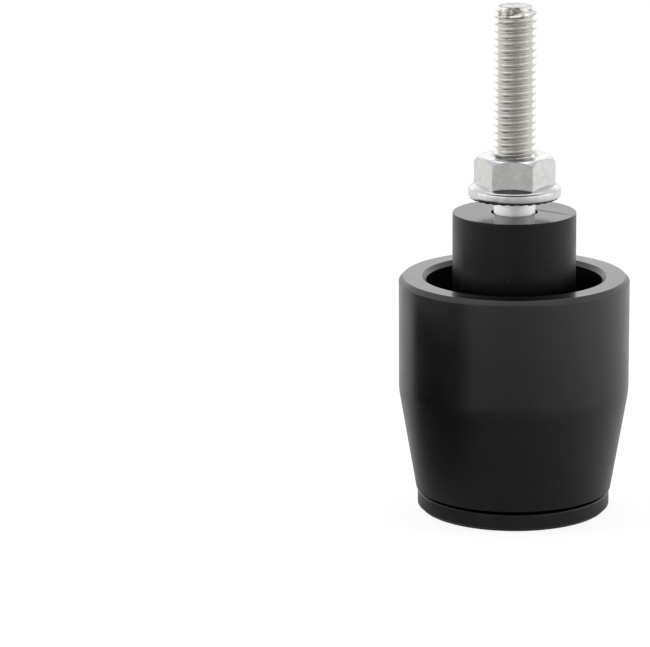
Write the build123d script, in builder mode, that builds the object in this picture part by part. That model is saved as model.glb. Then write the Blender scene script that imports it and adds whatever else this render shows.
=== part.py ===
from build123d import *
import math
import os

os.makedirs("parts", exist_ok=True)

# Motorbike bar end weight, in millimetres. It stands on its end cap at z = 0, with +Z along the
# bolt, towards the inside of the handlebar.

# Weight body: a turned cup, cylindrical at the rim and tapered towards the end cap
body_diameter = 32.0
taper_step = 2.39
body_length = 30.15
taper_length = 14.0
taper_blend = 12.0
rim_chamfer = 0.6
bore_diameter = 24.4
bore_depth = 12.0
bore_chamfer = 0.58
body_hole_diameter = 7.0

# End cap: a disc with a short spigot, countersunk for the bolt head
cap_inset = 0.21
cap_thickness = 2.54
shadow_gap = 0.41
cap_top_chamfer = 0.17
cap_bottom_chamfer = 0.56
cap_hole_diameter = 6.6
cap_hole_length = 3.3
spigot_wall = 1.9
spigot_clearance = 0.05

# Inner sleeve: a plain tube that goes inside the handlebar
sleeve_diameter = 17.1
sleeve_length = 21.0
sleeve_bore_diameter = 6.45
sleeve_edge = 0.15

# Bolt: M6 x 70 countersunk socket screw, partly threaded
thread_diameter = 5.88
thread_length = 26.55
thread_runout = 0.3
shank_diameter = 5.75
tip_diameter = 4.6
head_diameter = 12.0
head_land = 0.3
head_recess = 0.1
head_clearance = 0.1
socket_width = 4.0
socket_depth = 2.3

# Flange nut: a hexagon on a conical flange, run down to the end of the thread
nut_width = 9.85
nut_crown_radius = 1.05
nut_height = 6.0
nut_turn = -6.9
nut_gap = 2.0
nut_run_down = 0.2
nut_clearance = 0.08
nut_countersink = 0.2
flange_overhang = 0.73
flange_rim_radius = 0.95
flange_foot_radius = 0.65
flange_slope = 22.0

# Radii that follow from the sizes above: taper and end cap follow the body
body_radius = body_diameter / 2
foot_radius = body_radius - taper_step
cap_radius = foot_radius - cap_inset
bore_radius = bore_diameter / 2
head_radius = head_diameter / 2
shank_radius = shank_diameter / 2
thread_radius = thread_diameter / 2
cap_hole_radius = cap_hole_diameter / 2
countersink_radius = head_radius + head_clearance
spigot_radius = countersink_radius + spigot_wall
recess_radius = spigot_radius + spigot_clearance
nut_bore_radius = thread_radius + nut_clearance
nut_mouth_radius = nut_bore_radius + nut_countersink
nut_corner_distance = nut_width / math.sqrt(3)
flange_radius = nut_corner_distance + flange_overhang

# Heights that follow from the sizes above: both countersink cones slope at 45 degrees
foot_z = cap_thickness + shadow_gap
rim_z = foot_z + body_length
bore_floor_z = rim_z - bore_depth
taper_top_z = foot_z + taper_length
head_land_z = head_recess + head_land
head_top_z = head_land_z + head_radius - shank_radius
countersink_top_z = head_land_z + countersink_radius - cap_hole_radius
spigot_top_z = countersink_top_z + cap_hole_length
sleeve_top_z = bore_floor_z + sleeve_length
nut_bottom_z = sleeve_top_z + nut_gap
nut_top_z = nut_bottom_z + nut_height
thread_start_z = nut_bottom_z + nut_run_down
tip_z = thread_start_z + thread_length
tip_chamfer = thread_radius - tip_diameter / 2

# Weight body
with BuildPart() as weight_body:
    with BuildSketch(Plane.XZ) as cup_profile:
        with BuildLine():
            Polyline(
                (body_hole_diameter / 2, spigot_top_z),
                (recess_radius, spigot_top_z),
                (recess_radius, foot_z),
                (foot_radius, foot_z),
                (body_radius, taper_top_z),
                (body_radius, rim_z - rim_chamfer),
                (body_radius - rim_chamfer, rim_z),
                (bore_radius + bore_chamfer, rim_z),
                (bore_radius, rim_z - bore_chamfer),
                (bore_radius, bore_floor_z),
                (body_hole_diameter / 2, bore_floor_z),
                close=True,
            )
        make_face()
        taper_corner = cup_profile.vertices().sort_by_distance((body_radius, taper_top_z))[0]
        fillet(taper_corner, radius=taper_blend)
    revolve(axis=Axis.Z)
weight_body.part.label = "weight_body"
export_step(weight_body.part, "parts/weight_body.step")

# End cap
with BuildPart() as end_cap:
    with BuildSketch(Plane.XZ):
        with BuildLine():
            Polyline(
                (countersink_radius, 0),
                (cap_radius - cap_bottom_chamfer, 0),
                (cap_radius, cap_bottom_chamfer),
                (cap_radius, cap_thickness - cap_top_chamfer),
                (cap_radius - cap_top_chamfer, cap_thickness),
                (spigot_radius, cap_thickness),
                (spigot_radius, spigot_top_z),
                (cap_hole_radius, spigot_top_z),
                (cap_hole_radius, countersink_top_z),
                (countersink_radius, head_land_z),
                close=True,
            )
        make_face()
    revolve(axis=Axis.Z)
end_cap.part.label = "end_cap"
export_step(end_cap.part, "parts/end_cap.step")

# Inner sleeve
with BuildPart() as inner_sleeve:
    with BuildSketch(Plane.XY.offset(bore_floor_z)):
        Circle(sleeve_diameter / 2)
        Circle(sleeve_bore_diameter / 2, mode=Mode.SUBTRACT)
    extrude(amount=sleeve_length)
    outer_rims = inner_sleeve.edges().filter_by(GeomType.CIRCLE).sort_by(SortBy.LENGTH)[-2:]
    chamfer(outer_rims, length=sleeve_edge)
inner_sleeve.part.label = "inner_sleeve"
export_step(inner_sleeve.part, "parts/inner_sleeve.step")

# Bolt: head, shank and thread are one turned profile, then the hexagon socket is cut
with BuildPart() as bolt:
    with BuildSketch(Plane.XZ):
        with BuildLine():
            Polyline(
                (0, head_recess),
                (head_radius, head_recess),
                (head_radius, head_land_z),
                (shank_radius, head_top_z),
                (shank_radius, thread_start_z),
                (thread_radius, thread_start_z + thread_runout),
                (thread_radius, tip_z - tip_chamfer),
                (tip_diameter / 2, tip_z),
                (0, tip_z),
                close=True,
            )
        make_face()
    revolve(axis=Axis.Z)
    with BuildSketch(Plane.XY.offset(head_recess)):
        RegularPolygon(socket_width / 2, 6, major_radius=False)
    extrude(amount=socket_depth, mode=Mode.SUBTRACT)
bolt.part.label = "bolt"
export_step(bolt.part, "parts/bolt.step")

# Flange nut: the hexagon prism is rounded off at its crown by two cones that meet half way round,
# then gets its flange and its bore
crown_step = nut_crown_radius * (1 - math.sqrt(0.5))
slope = math.radians(flange_slope)
rim_centre_radius = flange_radius - flange_rim_radius
rim_centre_z = nut_bottom_z + flange_rim_radius
cone_foot_radius = rim_centre_radius + flange_rim_radius * math.sin(slope)
cone_foot_z = rim_centre_z + flange_rim_radius * math.cos(slope)
cone_top_z = cone_foot_z + (cone_foot_radius - nut_mouth_radius) * math.tan(slope)
with BuildPart() as flange_nut:
    with BuildSketch(Plane.XY.offset(nut_bottom_z)):
        RegularPolygon(nut_width / 2, 6, major_radius=False, rotation=nut_turn)
    extrude(amount=nut_height)
    with BuildSketch(Plane.XZ):
        with BuildLine():
            Polyline(
                (nut_corner_distance - nut_crown_radius, nut_top_z),
                (0, nut_top_z),
                (0, nut_bottom_z),
                (nut_corner_distance, nut_bottom_z),
                (nut_corner_distance, nut_top_z - nut_crown_radius),
                (nut_corner_distance - crown_step, nut_top_z - crown_step),
                close=True,
            )
        make_face()
    revolve(axis=Axis.Z, mode=Mode.INTERSECT)
    with BuildSketch(Plane.XZ):
        with BuildLine():
            Polyline(
                (cone_foot_radius, cone_foot_z),
                (nut_mouth_radius, cone_top_z),
                (nut_mouth_radius, nut_bottom_z),
                (flange_radius - flange_foot_radius, nut_bottom_z),
            )
            RadiusArc(
                (flange_radius - flange_foot_radius, nut_bottom_z),
                (flange_radius, nut_bottom_z + flange_foot_radius),
                -flange_foot_radius,
            )
            Line((flange_radius, nut_bottom_z + flange_foot_radius), (flange_radius, rim_centre_z))
            RadiusArc(
                (flange_radius, rim_centre_z),
                (cone_foot_radius, cone_foot_z),
                -flange_rim_radius,
            )
        make_face()
    revolve(axis=Axis.Z)
    with BuildSketch(Plane.XZ):
        with BuildLine():
            Polyline(
                (0, nut_bottom_z),
                (nut_mouth_radius, nut_bottom_z),
                (nut_bore_radius, nut_bottom_z + nut_countersink),
                (nut_bore_radius, nut_top_z - nut_countersink),
                (nut_mouth_radius, nut_top_z),
                (0, nut_top_z),
                close=True,
            )
        make_face()
    revolve(axis=Axis.Z, mode=Mode.SUBTRACT)
flange_nut.part.label = "flange_nut"
export_step(flange_nut.part, "parts/flange_nut.step")

print("rim", rim_z, "bore floor", bore_floor_z, "spigot top", spigot_top_z, "sleeve top", sleeve_top_z)
print("nut from", nut_bottom_z, "to", nut_top_z, "bolt from", head_recess, "to", tip_z)
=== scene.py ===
import math

import bpy
import numpy as np
from mathutils import Matrix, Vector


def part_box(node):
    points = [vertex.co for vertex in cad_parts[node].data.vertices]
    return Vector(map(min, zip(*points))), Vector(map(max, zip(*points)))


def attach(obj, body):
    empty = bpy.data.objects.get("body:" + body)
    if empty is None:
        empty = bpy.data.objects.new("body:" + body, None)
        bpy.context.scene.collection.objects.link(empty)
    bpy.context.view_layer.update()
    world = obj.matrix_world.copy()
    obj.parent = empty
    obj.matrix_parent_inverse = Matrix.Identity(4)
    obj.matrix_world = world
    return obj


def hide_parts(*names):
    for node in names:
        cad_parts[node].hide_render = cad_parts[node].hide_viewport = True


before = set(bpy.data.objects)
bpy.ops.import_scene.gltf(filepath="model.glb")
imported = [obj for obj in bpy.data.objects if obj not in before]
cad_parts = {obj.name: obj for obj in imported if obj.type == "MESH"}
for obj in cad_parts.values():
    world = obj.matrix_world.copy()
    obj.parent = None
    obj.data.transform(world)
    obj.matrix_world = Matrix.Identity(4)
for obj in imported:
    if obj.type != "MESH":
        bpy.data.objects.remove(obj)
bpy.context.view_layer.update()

mm = 0.001  # sizes below are in millimetres, the scene is in metres

# Surfaces

easedEdge = {
    "points": 9,      # rows in the curve of an edge
    "longest": 0.45,  # of a run, the most that an edge takes up
    "beside": 1.6,    # edges from a corner to the row that keeps its run flat
}


def inMetres(sizes):
    return [size * mm for size in sizes]


def turnedSize(node):
    low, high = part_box(node)  # radius, bottom and top of a turned piece
    return (high[0] - low[0]) / 2 / mm, low[2] / mm, high[2] / mm


def fullTurn(columns):
    return np.arange(columns) * 2 * math.pi / columns


def profileRows(stations, columns, closed):
    # A station is (radius, height, edge), as numbers or one value per column. A corner with an edge is a
    # quadratic curve: (1-s)^2 start + 2s(1-s) corner + s^2 end, where start and end lie one edge from the
    # corner on its two runs. A row beside each end keeps the runs flat under smooth shading.
    points = np.array([
        [np.broadcast_to(radius, columns), np.broadcast_to(height, columns)]
        for radius, height, _ in stations])
    rows = []
    for i, (_, _, edge) in enumerate(stations):
        corner = points[i]
        if not edge:
            rows.append(corner)
            continue
        arms = []
        for neighbour in (points[i - 1], points[(i + 1) % len(points)]):
            arm = neighbour - corner
            length = np.hypot(arm[0], arm[1])
            arms.append(arm * np.minimum(edge / length, easedEdge["longest"]))
        rows.append(corner + easedEdge["beside"] * arms[0])
        for s in np.linspace(0, 1, easedEdge["points"]):
            rows.append(corner + (1 - s) ** 2 * arms[0] + s ** 2 * arms[1])
        rows.append(corner + easedEdge["beside"] * arms[1])
    if closed:
        rows.append(rows[0])
    return np.array(rows)


def turnedPiece(name, rows, angle, closed, body, node, material):
    # x = r cos(angle), y = r sin(angle), z = height over the grid of rows and angles. Rows run up the
    # outside and down the inside, so faces look outwards. An open grid gets a point on the axis at each
    # end.
    radius, height = rows[:, 0], rows[:, 1]
    points = np.stack([radius * np.cos(angle), radius * np.sin(angle), height], axis=-1) * mm
    index = np.arange(radius.size).reshape(radius.shape)
    if closed:
        index[-1] = index[0]
        points = points[:-1]
    here, there = index[:-1], index[1:]
    quads = np.stack([here, np.roll(here, -1, 1), np.roll(there, -1, 1), there], axis=-1)
    faces = quads.reshape(-1, 4).tolist()
    points = points.reshape(-1, 3)
    if not closed:
        lowPole, highPole = len(points), len(points) + 1
        poles = [[0, 0, height[0, 0] * mm], [0, 0, height[-1, 0] * mm]]
        points = np.vstack([points, poles])
        first, last = index[0], index[-1]
        faces += np.stack([np.full_like(first, lowPole), np.roll(first, -1), first], axis=-1).tolist()
        faces += np.stack([last, np.roll(last, -1), np.full_like(last, highPole)], axis=-1).tolist()
    mesh = bpy.data.meshes.new(name)
    mesh.from_pydata(points.tolist(), [], faces)
    mesh.shade_smooth()
    mesh.materials.append(material)
    piece = bpy.data.objects.new(name, mesh)
    bpy.context.scene.collection.objects.link(piece)
    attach(piece, body)
    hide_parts(node)
    print(name, len(faces), "faces")


# Nodes

noiseRange = (0.3, 0.7)  # most of a noise lies between these


def linear(hexColour):
    parts = [int(hexColour[i:i + 2], 16) / 255 for i in (1, 3, 5)]
    return [c / 12.92 if c <= 0.04045 else ((c + 0.055) / 1.055) ** 2.4 for c in parts] + [1.0]


def addNode(tree, kind, inputs=None, **settings):
    node = tree.nodes.new("ShaderNode" + kind)
    for name, value in settings.items():
        setattr(node, name, value)
    for socket, value in (inputs or {}).items():
        if isinstance(value, bpy.types.NodeSocket):
            tree.links.new(value, node.inputs[socket])
        else:
            node.inputs[socket].default_value = value
    return node


def newMaterial(name):
    material = bpy.data.materials.new(name)
    material.use_nodes = True
    tree = material.node_tree
    shader = tree.nodes["Principled BSDF"]
    place = addNode(tree, "TexCoord").outputs["Object"]
    return material, tree, shader, place


def ringPlace(tree, place):
    # (distance from the axis, 0, height): a pattern on it runs round the piece like a lathe's marks
    split = addNode(tree, "SeparateXYZ", {0: place})
    flat = addNode(tree, "CombineXYZ", {0: split.outputs[0], 1: split.outputs[1]})
    reach = addNode(tree, "VectorMath", {0: flat.outputs[0]}, operation="LENGTH")
    return addNode(tree, "CombineXYZ", {0: reach.outputs["Value"], 2: split.outputs[2]}).outputs[0]


def shareOf(tree, ranges, **settings):
    # a range is a value, and where its share is none and full: the shares of all ranges are multiplied
    share = None
    for value, (none, full) in ranges:
        part = addNode(tree, "MapRange", {"Value": value, "From Min": none, "From Max": full}, **settings)
        if share is None:
            share = part.outputs[0]
        else:
            share = addNode(tree, "Math", {0: share, 1: part.outputs[0]}, operation="MULTIPLY").outputs[0]
    return share


def band(value, limits):
    # none, full, still full and none again, as two ranges
    start, full, stillFull, end = limits
    return [(value, (start, full)), (value, (end, stillFull))]


def cloudyGloss(tree, patches, share, levels, endLevels):
    # roughness: the clouds go from smooth to dull by two levels, and by two others where share is full
    glosses = []
    for smooth, dull in (levels, endLevels):
        glosses.append(addNode(tree, "MapRange", {
            "Value": patches, "From Min": noiseRange[0], "From Max": noiseRange[1],
            "To Min": smooth, "To Max": dull}).outputs[0])
    return addNode(tree, "Mix", {0: share, 2: glosses[0], 3: glosses[1]}).outputs[0]


# Finishes

anodised = {
    "dark": "#020203", "light": "#060607",
    "roughness": (0.27, 0.33), "facedRoughness": (0.16, 0.2), "ior": 1.66,
    "facedHeight": (33.0, 33.06),  # mm, where the fine faced end of the rim begins
    "patch": 4.0,        # mm, cloudiness of the dye
    "turning": 0.16,     # mm between lathe marks, drawn coarser than the real 0.05
    "markDepth": 0.0012,  # mm
}


def blackAnodisedAluminium():
    # Black dyed anodised aluminium, finely turned: a near black body under a hard clear oxide layer, so
    # all its brightness is a soft mirror image, strongest at grazing angles, with faint marks round it
    material, tree, shader, place = newMaterial("blackAnodisedAluminium")
    rings = ringPlace(tree, place)
    patches = addNode(tree, "TexNoise", {
        "Vector": place, "Scale": 1 / (anodised["patch"] * mm), "Detail": 3.0}).outputs[0]
    marks = addNode(tree, "TexNoise", {
        "Vector": rings, "Scale": 1 / (anodised["turning"] * mm), "Detail": 2.0}).outputs[0]
    colour = addNode(tree, "Mix", {
        0: patches, 6: linear(anodised["dark"]), 7: linear(anodised["light"])}, data_type="RGBA")
    height = addNode(tree, "SeparateXYZ", {0: place}).outputs[2]
    faced = shareOf(tree, [(height, inMetres(anodised["facedHeight"]))])
    gloss = cloudyGloss(tree, patches, faced, anodised["roughness"], anodised["facedRoughness"])
    bump = addNode(tree, "Bump", {
        "Height": marks, "Distance": anodised["markDepth"] * mm, "Strength": 1.0})
    tree.links.new(colour.outputs[2], shader.inputs["Base Color"])
    tree.links.new(gloss, shader.inputs["Roughness"])
    tree.links.new(bump.outputs[0], shader.inputs["Normal"])
    shader.inputs["IOR"].default_value = anodised["ior"]
    return material


rubber = {
    "dark": "#050505", "light": "#0a0a0a",
    "roughness": (0.3, 0.4), "cutRoughness": (0.08, 0.13), "ior": 1.38,
    "cutHeight": (41.95, 42.05),  # mm, where the smooth cut end begins
    "patch": 2.5,        # mm
    "grain": 0.22,       # mm, skin of the moulding, drawn coarser than real
    "grainDepth": 0.0015,  # mm
    "dust": 1.6,         # mm between specks
    "speck": (0.05, 0.03),  # of that spacing, a speck's rim and its full middle
    "dustColour": "#5a5a55",
    "nickStart": (3.1, 1.15), "nickEnd": (7.7, -2.7),  # mm, a knife's mark on the cut end
    "nickWidth": 0.45, "nickDepth": 0.05, "nickFade": (0.2, 1.5), "nickRoughness": 0.5,
}


def blackRubber():
    # Moulded black rubber: a satin skin that mirrors softly, with a fine grain and a few specks of dust,
    # and a smooth cut end that mirrors clearly, with a matt knife's mark
    material, tree, shader, place = newMaterial("blackRubber")
    patches = addNode(tree, "TexNoise", {
        "Vector": place, "Scale": 1 / (rubber["patch"] * mm), "Detail": 3.0}).outputs[0]
    grain = addNode(tree, "TexNoise", {
        "Vector": place, "Scale": 1 / (rubber["grain"] * mm), "Detail": 2.0}).outputs[0]
    specks = addNode(tree, "TexVoronoi", {"Vector": place, "Scale": 1 / (rubber["dust"] * mm)})
    dusty = shareOf(tree, [(specks.outputs["Distance"], rubber["speck"])])
    skin = addNode(tree, "Mix", {
        0: patches, 6: linear(rubber["dark"]), 7: linear(rubber["light"])}, data_type="RGBA")
    colour = addNode(tree, "Mix", {
        0: dusty, 6: skin.outputs[2], 7: linear(rubber["dustColour"])}, data_type="RGBA")
    height = addNode(tree, "SeparateXYZ", {0: place}).outputs[2]
    cutEnd = (height, inMetres(rubber["cutHeight"]))
    cut = shareOf(tree, [cutEnd])
    gloss = cloudyGloss(tree, patches, cut, rubber["roughness"], rubber["cutRoughness"])

    # the mark is measured along and across its line
    start = np.array(rubber["nickStart"])
    run = np.array(rubber["nickEnd"]) - start
    length = np.hypot(run[0], run[1])
    along = [run[0] / length, run[1] / length, 0.0]
    across = [-along[1], along[0], 0.0]
    here = addNode(tree, "VectorMath", {
        0: place, 1: [start[0] * mm, start[1] * mm, 0.0]}, operation="SUBTRACT").outputs[0]
    way = addNode(tree, "VectorMath", {0: here, 1: along}, operation="DOT_PRODUCT").outputs["Value"]
    aside = addNode(tree, "VectorMath", {0: here, 1: across}, operation="DOT_PRODUCT").outputs["Value"]
    off = addNode(tree, "Math", {0: aside}, operation="ABSOLUTE").outputs[0]
    fadeIn, fadeOut = rubber["nickFade"]
    nick = shareOf(tree, [
        cutEnd,
        (way, inMetres((0.0, fadeIn))),
        (way, inMetres((length, length - fadeOut))),
        (off, inMetres((rubber["nickWidth"] / 2, 0.0))),
    ])
    matt = addNode(tree, "Mix", {0: nick, 2: gloss, 3: rubber["nickRoughness"]})
    bump = addNode(tree, "Bump", {
        "Height": grain, "Distance": rubber["grainDepth"] * mm, "Strength": 1.0})
    groove = addNode(tree, "Bump", {
        "Height": nick, "Distance": rubber["nickDepth"] * mm, "Strength": 1.0,
        "Normal": bump.outputs[0]}, invert=True)
    tree.links.new(colour.outputs[2], shader.inputs["Base Color"])
    tree.links.new(matt.outputs[0], shader.inputs["Roughness"])
    tree.links.new(groove.outputs[0], shader.inputs["Normal"])
    shader.inputs["IOR"].default_value = rubber["ior"]
    return material


zinc = {
    "bright": "#e0e0df", "dim": "#c6c6c3",  # the nut and the bolt's head
    "roughness": (0.17, 0.27),
    "patch": 0.9,        # mm, clouds in the plating
    "grain": 0.16,       # mm, grain of the drawn steel below
    "grainDepth": 0.0015,  # mm
    "boltRadius": (2.95, 3.0),  # mm from the axis: the satin rolled bolt is inside
    "boltRoughness": (0.2, 0.2), "boltMetal": 0.9,
    "rolledBright": "#f6f5f0", "rolledDim": "#e8e7e1",  # the thread, painted lighter than the nut: painted light that stands in for light lost in its grooves
    "crest": "#d4d3d0", "crestShadeRadius": (2.6, 2.85),     # mm, crests painted darker than the grooves: painted shade
    "end": "#c4c4c3", "endHeight": (70.7, 70.8),        # mm, and the flat end is darker still
    "shankPaintedLight": "#f6f6f5", "shankTop": (44.2, 44.3),  # mm, below this the shank is pale and matt: painted light for its bright reflections
    "grimeAndShade": "#6f6353", "grooveShadeShare": 0.3,  # grease and painted shade in the grooves of the thread; the scuffs share this colour
    "grooveShadeRadius": (2.31, 2.36, 2.42, 2.62),  # mm from the axis: none, full, full, none
    "scuff": 0.9, "scuffHeight": (67.5, 69.8),  # mm, dark scuffs on the first turns
    "scuffRange": (0.5, 0.6), "scuffShare": 0.75,
}


def zincPlatedSteel():
    # Bright zinc plated steel: a pale neutral metal with soft mirror images, cloudy in small patches,
    # over the fine grain of the rolled and drawn steel. Painted light makes the shank pale and matt and
    # the thread lighter; painted shade darkens its crests, and grease and painted shade darken its
    # grooves; dark scuffs at its tip
    material, tree, shader, place = newMaterial("zincPlatedSteel")
    patches = addNode(tree, "TexNoise", {
        "Vector": place, "Scale": 1 / (zinc["patch"] * mm), "Detail": 4.0}).outputs[0]
    grain = addNode(tree, "TexNoise", {
        "Vector": place, "Scale": 1 / (zinc["grain"] * mm), "Detail": 3.0}).outputs[0]
    blots = addNode(tree, "TexNoise", {
        "Vector": place, "Scale": 1 / (zinc["scuff"] * mm), "Detail": 3.0}).outputs[0]
    ring = addNode(tree, "SeparateXYZ", {0: ringPlace(tree, place)})
    reach, height = ring.outputs[0], ring.outputs[2]
    outside = shareOf(tree, [(reach, inMetres(zinc["boltRadius"]))])
    above = shareOf(tree, [(height, inMetres(zinc["shankTop"]))])
    onThread = addNode(tree, "Math", {0: above, 1: outside}, operation="SUBTRACT", use_clamp=True)
    offShank = addNode(tree, "Math", {0: above, 1: outside}, operation="MAXIMUM")

    plating = addNode(tree, "Mix", {
        0: patches, 6: linear(zinc["bright"]), 7: linear(zinc["dim"])}, data_type="RGBA")
    rolled = addNode(tree, "Mix", {
        0: patches, 6: linear(zinc["rolledBright"]), 7: linear(zinc["rolledDim"])}, data_type="RGBA")
    # painted light and shade: the thread is lighter than the nut, and darker on its crests
    crestShadeShare = shareOf(tree, [(reach, inMetres(zinc["crestShadeRadius"]))])
    tip = shareOf(tree, [(height, inMetres(zinc["endHeight"]))])
    for share, tone in ((crestShadeShare, zinc["crest"]), (tip, zinc["end"])):
        rolled = addNode(tree, "Mix", {
            0: share, 6: rolled.outputs[2], 7: linear(tone)}, data_type="RGBA")
    clean = addNode(tree, "Mix", {
        0: onThread.outputs[0], 6: plating.outputs[2], 7: rolled.outputs[2]}, data_type="RGBA")

    # grease and painted shade: the thread's grooves are darker and brown
    grooveShade = shareOf(tree, band(reach, inMetres(zinc["grooveShadeRadius"])))
    scuffs = shareOf(tree, [(height, inMetres(zinc["scuffHeight"])), (blots, zinc["scuffRange"])])
    darkShares = []
    for share, most in ((grooveShade, zinc["grooveShadeShare"]), (scuffs, zinc["scuffShare"])):
        darkShares.append(addNode(tree, "Math", {0: share, 1: most}, operation="MULTIPLY").outputs[0])
    darkShare = addNode(tree, "Math", {0: darkShares[0], 1: darkShares[1]}, operation="MAXIMUM")
    darkened = addNode(tree, "Mix", {
        0: darkShare.outputs[0], 6: clean.outputs[2], 7: linear(zinc["grimeAndShade"])}, data_type="RGBA")
    # painted light: below its top the shank takes a pale matt colour for its bright reflections
    colour = addNode(tree, "Mix", {
        0: offShank.outputs[0], 6: linear(zinc["shankPaintedLight"]), 7: darkened.outputs[2]}, data_type="RGBA")

    gloss = cloudyGloss(tree, patches, outside, zinc["boltRoughness"], zinc["roughness"])
    boltMetal = addNode(tree, "MapRange", {"Value": above, "To Max": zinc["boltMetal"]})
    metal = addNode(tree, "Mix", {0: outside, 2: boltMetal.outputs[0], 3: 1.0})
    bump = addNode(tree, "Bump", {
        "Height": grain, "Distance": zinc["grainDepth"] * mm, "Strength": 1.0})
    tree.links.new(colour.outputs[2], shader.inputs["Base Color"])
    tree.links.new(gloss, shader.inputs["Roughness"])
    tree.links.new(bump.outputs[0], shader.inputs["Normal"])
    tree.links.new(metal.outputs[0], shader.inputs["Metallic"])
    return material


anodisedFinish = blackAnodisedAluminium()
rubberFinish = blackRubber()
zincFinish = zincPlatedSteel()
print("finishes made")

# Weight body

weightBody = {
    "taperStep": 2.39, "taperLength": 14.0,  # cone below the cylinder
    "taperBlend": 12.0,                      # radius of the curve between them
    "rimChamfer": 0.6, "boreRadius": 12.2, "boreDepth": 12.0, "boreChamfer": 0.58,
    "recessRadius": 8.05, "recessDepth": 3.55, "holeRadius": 3.5,
    "edge": 0.06, "columns": 240,
}


def makeWeightBody(size):
    radius, foot, rim = turnedSize("weight_body")
    turn = math.atan2(size["taperStep"], size["taperLength"])
    blend = size["taperBlend"] * math.tan(turn / 2)
    floor, roof = rim - size["boreDepth"], foot + size["recessDepth"]
    bore, edge = size["boreRadius"], size["edge"]
    stations = [
        (size["holeRadius"], roof, edge),
        (size["recessRadius"], roof, edge),
        (size["recessRadius"], foot, edge),
        (radius - size["taperStep"], foot, edge),
        (radius, foot + size["taperLength"], blend),
        (radius, rim - size["rimChamfer"], edge),
        (radius - size["rimChamfer"], rim, edge),
        (bore + size["boreChamfer"], rim, edge),
        (bore, rim - size["boreChamfer"], edge),
        (bore, floor, edge),
        (size["holeRadius"], floor, edge),
    ]
    rows = profileRows(stations, size["columns"], True)
    turnedPiece("weightBody", rows, fullTurn(size["columns"]), True,
                "weight", "weight_body", anodisedFinish)


makeWeightBody(weightBody)

# End cap

endCap = {
    "thickness": 2.54, "topChamfer": 0.17, "bottomChamfer": 0.56,
    "spigotRadius": 8.0, "holeRadius": 3.3, "countersinkRadius": 6.1, "land": 0.4,
    "edge": 0.06, "columns": 240,
}


def makeEndCap(size):
    radius, bottom, top = turnedSize("end_cap")
    mouth, edge = size["countersinkRadius"], size["edge"]
    face = bottom + size["thickness"]
    stations = [
        (mouth, bottom, edge),
        (radius - size["bottomChamfer"], bottom, edge),
        (radius, bottom + size["bottomChamfer"], edge),
        (radius, face - size["topChamfer"], edge),
        (radius - size["topChamfer"], face, edge),
        (size["spigotRadius"], face, edge),
        (size["spigotRadius"], top, edge),
        (size["holeRadius"], top, edge),
        (size["holeRadius"], bottom + size["land"] + mouth - size["holeRadius"], edge),
        (mouth, bottom + size["land"], edge),
    ]
    rows = profileRows(stations, size["columns"], True)
    turnedPiece("endCap", rows, fullTurn(size["columns"]), True,
                "weight", "end_cap", anodisedFinish)


makeEndCap(endCap)

# Inner sleeve

innerSleeve = {"boreRadius": 3.225, "outerEdge": 0.16, "boreEdge": 0.06, "columns": 192}


def makeInnerSleeve(size):
    radius, bottom, top = turnedSize("inner_sleeve")
    stations = [
        (size["boreRadius"], bottom, size["boreEdge"]),
        (radius, bottom, size["outerEdge"]),
        (radius, top, size["outerEdge"]),
        (size["boreRadius"], top, size["boreEdge"]),
    ]
    rows = profileRows(stations, size["columns"], True)
    turnedPiece("innerSleeve", rows, fullTurn(size["columns"]), True,
                "weight", "inner_sleeve", rubberFinish)


makeInnerSleeve(innerSleeve)

# Thread, shared by bolt and nut

thread = {
    "pitch": 1.0, "crest": 2.94, "root": 2.365, "crestFlat": 0.12, "flank": 60.0,
    "ease": 0.06,    # mm, roundness of crest and root
    "start": 0.8,    # mm, height of a crest at angle 0, less whole turns
    "rowStep": 0.05,  # mm between rows
}


def threadRadius(angle, height):
    # A right-hand V thread: the distance along the axis to the nearest crest, less half the crest's flat,
    # falls at the flank's slope and is held between crest and root by eased limits:
    # the larger of x and 0 is (x + sqrt(x^2 + ease^2)) / 2
    turns = (height - thread["start"]) / thread["pitch"] - angle / (2 * math.pi)
    away = np.abs(turns - np.round(turns)) * thread["pitch"]
    depth, ease = thread["crest"] - thread["root"], thread["ease"]
    fall = (away - thread["crestFlat"] / 2) * math.tan(math.radians(thread["flank"]))
    fall = (fall + np.sqrt(fall ** 2 + ease ** 2)) / 2
    spare = depth - fall
    return thread["root"] + (spare + np.sqrt(spare ** 2 + ease ** 2)) / 2


def hexRadius(angle, halfWidth, cornerRadius):
    # Distance from the axis to a hexagon with a corner at angle 0: halfWidth / cos(fromMiddle) on a
    # flat, and the far side of the rounding circle near a corner
    halfSector = math.pi / 6
    fromMiddle = np.abs((angle % (2 * halfSector)) - halfSector)
    flat = halfWidth / np.cos(fromMiddle)
    if not cornerRadius:
        return flat
    fromCorner = halfSector - fromMiddle
    centre = (halfWidth - cornerRadius) / math.cos(halfSector)  # of the circle, from the axis
    across = np.maximum(cornerRadius ** 2 - (centre * np.sin(fromCorner)) ** 2, 0)
    touch = math.atan((halfWidth - cornerRadius) * math.tan(halfSector) / halfWidth)
    return np.where(fromMiddle > touch, centre * np.cos(fromCorner) + np.sqrt(across), flat)


# Bolt

threadedBolt = {
    "headLand": 0.3, "shankRadius": 2.875,
    "socketHalf": 2.0, "socketDepth": 2.3, "poleRadius": 0.25,
    "threadStart": 44.3, "runOut": 0.35,
    "collarRadius": 2.3, "collarLength": 0.62, "collarRise": 0.3,  # plain end above the last thread
    "edge": 0.05, "tipEdge": 0.12, "columns": 144,
}


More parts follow.
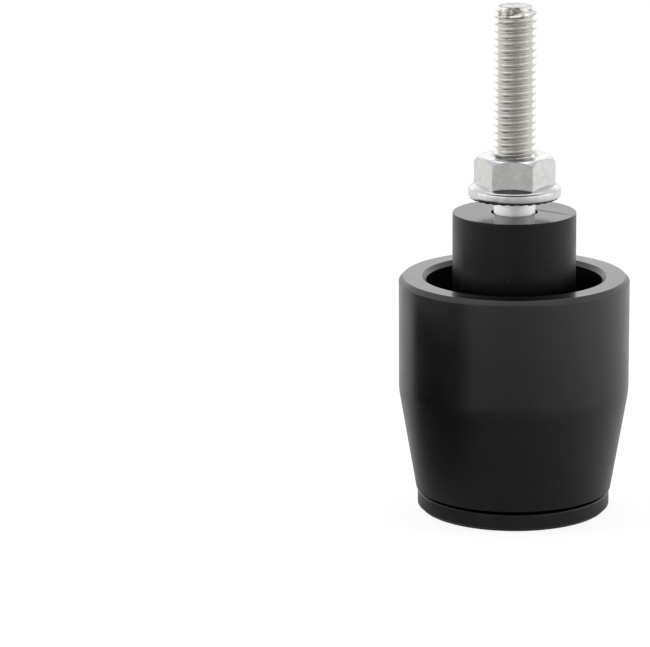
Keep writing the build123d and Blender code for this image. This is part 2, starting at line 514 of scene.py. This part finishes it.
def makeBolt(size):
    headRadius, bottom, tip = turnedSize("bolt")
    columns, edge = size["columns"], size["edge"]
    angle = fullTurn(columns)
    land = bottom + size["headLand"]
    shank, socketRoof = size["shankRadius"], bottom + size["socketDepth"]
    socket = hexRadius(angle, size["socketHalf"], 0)
    start = size["threadStart"]
    lower = profileRows([
        (size["poleRadius"], socketRoof, 0),
        (socket, socketRoof, edge),
        (socket, bottom, edge),
        (headRadius, bottom, edge),
        (headRadius, land, edge),
        (shank, land + headRadius - shank, edge),
        (shank, start - size["runOut"], 0),
    ], columns, False)
    # the thread grows out of the shank over the run-out, and the collar's cone cuts it off below the tip
    collarTop = tip - size["tipEdge"] * easedEdge["beside"]
    count = round((collarTop - start) / thread["rowStep"])
    height = np.linspace(start, collarTop, count)[:, None] * np.ones(columns)
    grown = np.clip((height - start) / size["runOut"], 0, 1)
    radius = shank + (threadRadius(angle, height) - shank) * grown
    collar = size["collarRadius"] + (tip - size["collarLength"] - height) / size["collarRise"]
    radius = np.minimum(radius, np.maximum(collar, size["collarRadius"]))
    middle = np.stack([radius, height], axis=1)
    upper = profileRows([
        (size["collarRadius"], collarTop, 0),
        (size["collarRadius"], tip, size["tipEdge"]),
        (size["poleRadius"], tip, 0),
    ], columns, False)
    rows = np.vstack([lower, middle, upper[2:]])  # the first two rows of upper lie on the collar
    turnedPiece("threadedBolt", rows, angle, False, "bolt", "bolt", zincFinish)


makeBolt(threadedBolt)

# Flange nut

flangeNut = {
    "halfWidth": 4.925, "cornerRadius": 0.4, "turn": -6.9, "flatColumns": 32,
    "crownStart": 4.93, "crownInner": 4.55,    # the crown's cone cuts the corners outside this radius
    "crownSlope": 1.13, "crownEase": 0.2,
    "crownRows": 12, "cornerRows": 3,          # rows of the crown, and those that its edge takes up
    "rimRadius": 0.95, "slope": 22.0,          # these place the flange's cone
    "footRadius": 0.65, "shoulderRadius": 0.5,  # lower and upper edge of the flange
    "rimRows": 10,
    "notches": 30, "notchDepth": 0.12,         # teeth under the flange
    "mouthRadius": 3.22, "mouthRows": 3,       # ends of the bore, and the thread's rows left out there
    "threadGap": 0.06,
    "edge": 0.09, "hollowEdge": 0.12, "mouthEdge": 0.05,
    "boreStep": 0.1,                           # to a point in the bore that steers the mouths' edges
}


def hexColumns(count):
    # columns crowd towards the corners: 30 degrees times the sine of an even spacing
    even = np.linspace(-1, 1, count, endpoint=False)
    sector = math.pi / 6 * (1 + np.sin(even * math.pi / 2))
    return np.concatenate([sector + k * math.pi / 3 for k in range(6)])


def flangeStations(size, radius, bottom, angle, coneRadius, coneFoot):
    # Arcs of the foot and of the shoulder, which meets the cone. The teeth are a cosine round the foot:
    # full at its lowest row, and faded out two thirds of the way up its arc
    stations = []
    foot, shoulder = size["footRadius"], size["shoulderRadius"]
    slope = math.radians(size["slope"])
    notch = size["notchDepth"] * (1 - np.cos(size["notches"] * angle)) / 2
    for tilt in np.linspace(-math.pi / 2, 0, size["rimRows"]):
        lift = notch * max(-math.sin(tilt) * 2 - 1, 0)
        height = bottom + foot + foot * math.sin(tilt) + lift
        stations.append((radius - foot + foot * math.cos(tilt), height, 0))
    touch = radius - shoulder + shoulder * math.sin(slope)
    centre = coneFoot - (touch - coneRadius) * math.tan(slope) - shoulder * math.cos(slope)
    for tilt in np.linspace(0, math.pi / 2 - slope, size["rimRows"]):
        height = centre + shoulder * math.sin(tilt)
        stations.append((radius - shoulder + shoulder * math.cos(tilt), height, 0))
    return stations


def crownStations(size, hexagon, top):
    # The drop of the crown is its slope times the eased larger of (radius - start) and 0, from the
    # hexagon's outline inwards
    stations = []
    for share in np.linspace(1, 0, size["crownRows"]):
        reach = size["crownInner"] + (hexagon - size["crownInner"]) * share
        past = reach - size["crownStart"]
        drop = size["crownSlope"] * (past + np.sqrt(past ** 2 + size["crownEase"] ** 2)) / 2
        stations.append((reach, top - drop, 0))
    rimRadius, rimHeight, _ = stations[0]
    return [(rimRadius, rimHeight, size["edge"])] + stations[size["cornerRows"]:]


def makeFlangeNut(size):
    radius, bottom, top = turnedSize("flange_nut")
    angle = hexColumns(size["flatColumns"])
    hexagon = hexRadius(angle, size["halfWidth"], size["cornerRadius"])
    angle = angle + math.radians(size["turn"])
    columns = len(angle)
    slope, rim, mouth = math.radians(size["slope"]), size["rimRadius"], size["mouthRadius"]
    coneRadius = radius - rim + rim * math.sin(slope)
    coneFoot = bottom + rim + rim * math.cos(slope)
    coneHeight = coneFoot + (coneRadius - hexagon) * math.tan(slope)  # where the cone meets the flats

    stations = [(mouth, bottom, size["mouthEdge"])]
    stations += flangeStations(size, radius, bottom, angle, coneRadius, coneFoot)
    stations.append((hexagon, coneHeight, size["hollowEdge"]))
    stations += crownStations(size, hexagon, top)
    stations.append((mouth, top, size["mouthEdge"]))
    stations.append((mouth - size["boreStep"], (top + bottom) / 2, 0))
    outer = profileRows(stations, columns, True)[:-2]  # without that point and the closing row

    count, skip = round((top - bottom) / thread["rowStep"]), size["mouthRows"]
    height = np.linspace(top, bottom, count)[skip:-skip, None] * np.ones(columns)
    ridges = threadRadius(angle, height) + size["threadGap"]
    ridges = np.maximum(ridges, mouth - np.minimum(top - height, height - bottom))
    rows = np.vstack([outer, np.stack([ridges, height], axis=1), outer[:1]])
    turnedPiece("flangeNut", rows, angle, True, "nut", "flange_nut", zincFinish)


makeFlangeNut(flangeNut)

# Stage: a pale floor that the camera sees as white, and a soft studio tent that is dim on the camera's
# side and bright behind. A dark opening for the camera is left in its roof, and a dark card stands at
# the left

stage = {
    "reach": 3000.0, "rings": 24, "columns": 96, "colour": "#d8d8d6",
    "cameraGlow": 0.865, "shadowShare": 0.18,
    "floorFront": 0.33, "floorBack": 1.0,     # brightness of the floor's glow in mirror images, darker in front: painted shade
    "frontFade": (0.0, 130.0, 0.52, 1.07),    # mm from the axis, and shares of that brightness there: painted shade near the foot
    "frontRise": (130.0, 210.0, 0.0, 0.85),
    "backFade": (30.0, 130.0, 0.72, 1.0),
    "sides": (-0.6, 1.0),                     # where front goes over into back
    "spots": (                                # painted shade of the card: place, inner and outer reach, share
        ((-55.0, -62.0), (25.0, 95.0), 0.62),
        ((-50.0, -12.0), (18.0, 44.0), 0.2),
    ),
    "front": 0.75, "back": 1.0,               # brightness of the tent
    "glow": 0.45, "glowDepth": (0.45, 1.0), "glowHeight": (0.13, 0.23, 0.35, 0.65),
    "sideGlow": 0.75, "sideReach": (0.25, 0.5), "sideDepth": (0.4, 0.1),
    "sideHeight": (-0.05, 0.02, 0.25, 0.4),
    "top": 0.85, "topTint": "#f2f5ff", "topHeight": (0.2, 1.0),
    "openingDark": 0.04, "openingDepth": (-0.2, -0.35), "openingHeight": (0.35, 0.45, 0.9, 0.96),
    "cardPlace": -62.0, "cardWidth": (-60.0, 24.0), "cardHeight": 24.0, "cardDark": 0.01,
}


def makeFloor(size):
    # a disc: rings of radius reach times the square of an even spacing, so that they crowd at the middle
    even = np.linspace(0, 1, size["rings"])[1:]
    angle = fullTurn(size["columns"])
    ring = (even ** 2 * size["reach"])[:, None]
    flat = np.zeros((len(even), size["columns"]))
    points = np.stack([ring * np.cos(angle), ring * np.sin(angle), flat], axis=-1).reshape(-1, 3) * mm
    index = np.arange(len(points)).reshape(flat.shape)
    here, there = index[:-1], index[1:]
    quads = np.stack([here, there, np.roll(there, -1, 1), np.roll(here, -1, 1)], axis=-1).reshape(-1, 4)
    mesh = bpy.data.meshes.new("floor")
    mesh.from_pydata(points.tolist(), [], quads.tolist() + [index[0].tolist()])
    floor = bpy.data.objects.new("floor", mesh)
    bpy.context.scene.collection.objects.link(floor)

    material, tree, shader, place = newMaterial("paleFloor")
    tree.nodes.remove(shader)
    path = addNode(tree, "LightPath")
    split = addNode(tree, "SeparateXYZ", {0: place})
    reach = addNode(tree, "VectorMath", {0: place}, operation="LENGTH").outputs["Value"]
    depth = addNode(tree, "Math", {
        0: split.outputs[1], 1: reach}, operation="DIVIDE").outputs[0]  # -1 in front, 1 behind
    # painted shade: in mirror images the floor glows less in front than behind
    tent = addNode(tree, "MapRange", {
        "Value": depth, "From Min": -1.0, "From Max": 1.0,
        "To Min": size["floorFront"], "To Max": size["floorBack"]})
    # painted shade round the foot: the glow in mirror images fades towards the axis
    fades = []
    for near, far, nearLevel, farLevel in (size["frontFade"], size["frontRise"], size["backFade"]):
        fades.append(addNode(tree, "MapRange", {
            "Value": reach, "From Min": near * mm, "From Max": far * mm,
            "To Min": nearLevel, "To Max": farLevel}).outputs[0])
    behind = shareOf(tree, [(depth, size["sides"])], interpolation_type="SMOOTHSTEP")
    front = addNode(tree, "Math", {0: fades[0], 1: fades[1]}, operation="ADD")
    fade = addNode(tree, "Mix", {0: behind, 2: front.outputs[0], 3: fades[2]})
    mirror = addNode(tree, "Math", {0: tent.outputs[0], 1: fade.outputs[0]}, operation="MULTIPLY")
    # painted shade: each spot darkens the floor's glow in mirror images
    for middle, (inner, outer), dark in size["spots"]:
        away = addNode(tree, "VectorMath", {
            0: place, 1: inMetres(middle) + [0.0]}, operation="DISTANCE")
        spot = addNode(tree, "MapRange", {
            "Value": away.outputs["Value"], "From Min": inner * mm, "From Max": outer * mm,
            "To Min": dark, "To Max": 1.0}, interpolation_type="SMOOTHSTEP")
        mirror = addNode(tree, "Math", {0: mirror.outputs[0], 1: spot.outputs[0]}, operation="MULTIPLY")
    image = addNode(tree, "Emission", {"Strength": mirror.outputs[0]})
    white = addNode(tree, "Emission", {"Strength": size["cameraGlow"]})
    shade = addNode(tree, "BsdfDiffuse", {"Color": [size["shadowShare"]] * 3 + [1.0]})
    shown = addNode(tree, "AddShader", {0: white.outputs[0], 1: shade.outputs[0]})
    plain = addNode(tree, "BsdfDiffuse", {"Color": linear(size["colour"])})
    mirrored = addNode(tree, "Math", {
        0: path.outputs["Is Glossy Ray"], 1: path.outputs["Is Transmission Ray"]}, operation="MAXIMUM")
    first = addNode(tree, "MixShader", {0: mirrored.outputs[0], 1: plain.outputs[0], 2: image.outputs[0]})
    final = addNode(tree, "MixShader", {
        0: path.outputs["Is Camera Ray"], 1: first.outputs[0], 2: shown.outputs[0]})
    tree.links.new(final.outputs[0], tree.nodes["Material Output"].inputs[0])
    mesh.materials.append(material)
    print("floor made")


def makeWorld(size):
    # brightness by direction: from front to back, more in a glow behind and in one at each side, going
    # over into the roof's own colour, and dark in the opening
    world = bpy.data.worlds.new("studioTent")
    bpy.context.scene.world = world
    world.use_nodes = True
    tree = world.node_tree
    direction = addNode(tree, "TexCoord").outputs["Generated"]
    split = addNode(tree, "SeparateXYZ", {0: direction})
    depth, height = split.outputs[1], split.outputs[2]
    aside = addNode(tree, "Math", {0: split.outputs[0]}, operation="ABSOLUTE").outputs[0]
    smooth = {"interpolation_type": "SMOOTHSTEP"}
    level = addNode(tree, "MapRange", {
        "Value": depth, "From Min": -1.0, "From Max": 1.0,
        "To Min": size["front"], "To Max": size["back"]})
    glow = shareOf(tree, [
        (depth, size["glowDepth"]), *band(height, size["glowHeight"])], **smooth)
    sideGlow = shareOf(tree, [
        (aside, size["sideReach"]), (depth, size["sideDepth"]), *band(height, size["sideHeight"])],
        **smooth)
    for share, most in ((glow, size["glow"]), (sideGlow, size["sideGlow"])):
        level = addNode(tree, "Math", {0: share, 1: most, 2: level.outputs[0]}, operation="MULTIPLY_ADD")
    high = shareOf(tree, [(height, size["topHeight"])], **smooth)
    roof = [size["top"] * c for c in linear(size["topTint"])]
    around = addNode(tree, "Mix", {0: high, 6: level.outputs[0], 7: roof}, data_type="RGBA")
    opening = shareOf(tree, [
        (depth, size["openingDepth"]), *band(height, size["openingHeight"])], **smooth)
    dim = addNode(tree, "MapRange", {"Value": opening, "To Min": 1.0, "To Max": size["openingDark"]})
    around = addNode(tree, "VectorMath", {
        0: around.outputs[2], "Scale": dim.outputs[0]}, operation="SCALE")
    path = addNode(tree, "LightPath")
    seen = addNode(tree, "Mix", {
        0: path.outputs["Is Camera Ray"], 6: around.outputs[0], 7: [1.0, 1.0, 1.0, 1.0]},
        data_type="RGBA")
    tree.links.new(seen.outputs[2], tree.nodes["Background"].inputs["Color"])
    print("tent made")


def makeCard(size):
    # a flat card, seen only in mirror images
    y = np.array(size["cardWidth"])[[0, 1, 1, 0]]
    z = np.array([0, 0, 1, 1]) * size["cardHeight"]
    points = np.stack([np.full(4, size["cardPlace"]), y, z], axis=-1) * mm
    mesh = bpy.data.meshes.new("darkCard")
    mesh.from_pydata(points.tolist(), [], [[0, 1, 2, 3]])
    card = bpy.data.objects.new("darkCard", mesh)
    bpy.context.scene.collection.objects.link(card)
    card.visible_camera = False
    card.visible_diffuse = False
    card.visible_shadow = False
    material, tree, shader, _ = newMaterial("darkCard")
    tree.nodes.remove(shader)
    dark = addNode(tree, "Emission", {"Strength": size["cardDark"]})
    tree.links.new(dark.outputs[0], tree.nodes["Material Output"].inputs[0])
    mesh.materials.append(material)
    print("card made")


softboxes = {  # mm and watts; the low ones at the sides light matt surfaces only
    "roofSoftbox": {"place": (0.0, 180.0, 700.0), "width": 600.0, "power": 1.0, "mirrored": True},
    "leftSoftbox": {"place": (-249.0, -22.0, 60.0), "width": 100.0, "power": 0.4, "mirrored": False},
    "rightSoftbox": {"place": (249.0, -22.0, 60.0), "width": 100.0, "power": 0.4, "mirrored": False},
}


def makeSoftbox(name, size):
    light = bpy.data.lights.new(name, "AREA")
    light.size = size["width"] * mm
    light.energy = size["power"]
    lamp = bpy.data.objects.new(name, light)
    lamp.location = inMetres(size["place"])
    lamp.rotation_euler = (-lamp.location).to_track_quat("-Z", "Y").to_euler()  # aimed at the origin
    lamp.visible_glossy = size["mirrored"]
    bpy.context.scene.collection.objects.link(lamp)
    print(name, "made")


cameraView = {
    "place": (-26.254, -486.5, 147.13), "downTilt": 13.934, "roll": -0.458,  # mm and degrees
    "focalPixels": 3605.9, "imageWidth": 650, "sensor": 36.0,
}


def makeCamera(size):
    data = bpy.data.cameras.new("camera")
    data.sensor_width = size["sensor"]
    data.lens = size["focalPixels"] / size["imageWidth"] * size["sensor"]
    camera = bpy.data.objects.new("camera", data)
    camera.location = inMetres(size["place"])
    tilt = Matrix.Rotation(math.radians(90 - size["downTilt"]), 3, "X")
    camera.rotation_euler = (tilt @ Matrix.Rotation(math.radians(size["roll"]), 3, "Z")).to_euler()
    bpy.context.scene.collection.objects.link(camera)
    bpy.context.scene.camera = camera
    print("camera made")


makeFloor(stage)
makeWorld(stage)
makeCard(stage)
for name, size in softboxes.items():
    makeSoftbox(name, size)
makeCamera(cameraView)
bpy.context.scene.view_settings.view_transform = "Standard"
